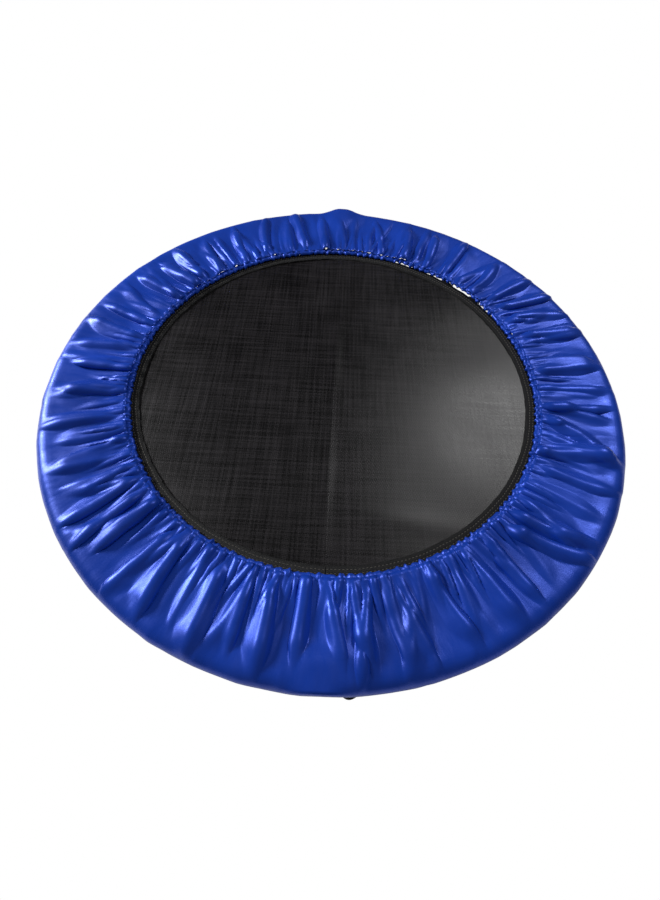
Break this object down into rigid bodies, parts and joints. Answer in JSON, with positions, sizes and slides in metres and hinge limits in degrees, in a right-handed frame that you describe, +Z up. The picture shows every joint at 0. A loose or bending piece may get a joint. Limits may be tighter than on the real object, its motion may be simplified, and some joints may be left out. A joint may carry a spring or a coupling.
{
  "type": "mini trampoline",
  "caption": "Round folding mini trampoline with a ruffled blue spring cover, black woven mat on tension springs and screw-in legs.",
  "frame": {"origin": "on the floor under the centre of the mat", "axes": "+Z up, the fold line along Y at x = 0, +Y towards the back"},
  "size_m": [1, 1, 0.2565],
  "materials": {
    "frame_steel": "black powder coat, satin",
    "leg_steel": "black powder coat, satin",
    "zinc_wire": "bright zinc",
    "zinc_pin": "zinc",
    "black_plastic": "moulded",
    "foot_rubber": "matt moulded rubber",
    "mat_fabric": "woven polypropylene with a soft gloss",
    "webbing": "woven webbing with stitch rows",
    "cover_nylon": "shiny thin nylon, gathered",
    "elastic": "braided elastic"
  },
  "bodies": {
    "frame_left": {"frame_tube_left": "frame_steel", "tube_end_caps_left": "black_plastic", "leg_sockets_left": "frame_steel", "hinge_leaf_back_left": "frame_steel", "hinge_leaf_front_left": "frame_steel", "cover_left": "cover_nylon", "cover_elastic_left": "elastic", "hem_elastic_left": "elastic", "springs_left": "zinc_wire", "hinge_pin_back": "zinc_pin", "hinge_pin_front": "zinc_pin"},
    "frame_right": {"frame_tube_right": "frame_steel", "tube_end_caps_right": "black_plastic", "leg_sockets_right": "frame_steel", "hinge_leaf_back_right": "frame_steel", "hinge_leaf_front_right": "frame_steel", "cover_right": "cover_nylon", "cover_elastic_right": "elastic", "hem_elastic_right": "elastic", "springs_right": "zinc_wire"},
    "leg_front": {"leg_tube_front": "leg_steel", "leg_stud_front": "zinc_pin", "leg_foot_front": "foot_rubber"},
    "leg_right_front": {"leg_tube_right_front": "leg_steel", "leg_stud_right_front": "zinc_pin", "leg_foot_right_front": "foot_rubber"},
    "leg_right_back": {"leg_tube_right_back": "leg_steel", "leg_stud_right_back": "zinc_pin", "leg_foot_right_back": "foot_rubber"},
    "leg_back": {"leg_tube_back": "leg_steel", "leg_stud_back": "zinc_pin", "leg_foot_back": "foot_rubber"},
    "leg_left_back": {"leg_tube_left_back": "leg_steel", "leg_stud_left_back": "zinc_pin", "leg_foot_left_back": "foot_rubber"},
    "leg_left_front": {"leg_tube_left_front": "leg_steel", "leg_stud_left_front": "zinc_pin", "leg_foot_left_front": "foot_rubber"},
    "suspended_mat_left": {"mat_left": "mat_fabric", "mat_webbing_left": "webbing", "ring_straps_left": "webbing", "mat_rings_left": "zinc_wire"},
    "suspended_mat_right": {"mat_right": "mat_fabric", "mat_webbing_right": "webbing", "ring_straps_right": "webbing", "mat_rings_right": "zinc_wire"}
  },
  "joints": [
    {"name": "frame_fold", "type": "hinge", "parent": "frame_left", "child": "frame_right", "pos_m": [0, 0, 0.2525], "axis": [0, -1, 0], "range_deg": [0, 180]},
    {"name": "mat_bounce_left", "type": "slide", "parent": "frame_left", "child": "suspended_mat_left", "axis": [0, 0, 1], "range_m": [-0.08, 0], "stiffness_N_per_m": 2500, "springref_m": 0.01, "deforming": ["springs_left"]},
    {"name": "mat_bounce_right", "type": "slide", "parent": "frame_right", "child": "suspended_mat_right", "axis": [0, 0, 1], "range_m": [-0.08, 0], "stiffness_N_per_m": 2500, "springref_m": 0.01, "deforming": ["springs_right"]},
    {"name": "unscrew_leg_front", "type": "slide", "parent": "frame_right", "child": "leg_front", "axis": [0, 0, 1], "range_m": [-0.02, 0]},
    {"name": "unscrew_leg_right_front", "type": "slide", "parent": "frame_right", "child": "leg_right_front", "axis": [0, 0, 1], "range_m": [-0.02, 0]},
    {"name": "unscrew_leg_right_back", "type": "slide", "parent": "frame_right", "child": "leg_right_back", "axis": [0, 0, 1], "range_m": [-0.02, 0]},
    {"name": "unscrew_leg_back", "type": "slide", "parent": "frame_left", "child": "leg_back", "axis": [0, 0, 1], "range_m": [-0.02, 0]},
    {"name": "unscrew_leg_left_back", "type": "slide", "parent": "frame_left", "child": "leg_left_back", "axis": [0, 0, 1], "range_m": [-0.02, 0]},
    {"name": "unscrew_leg_left_front", "type": "slide", "parent": "frame_left", "child": "leg_left_front", "axis": [0, 0, 1], "range_m": [-0.02, 0]}
  ],
  "couplings": [
    {"joint": "mat_bounce_right", "follows": "mat_bounce_left", "ratio": 1}
  ]
}
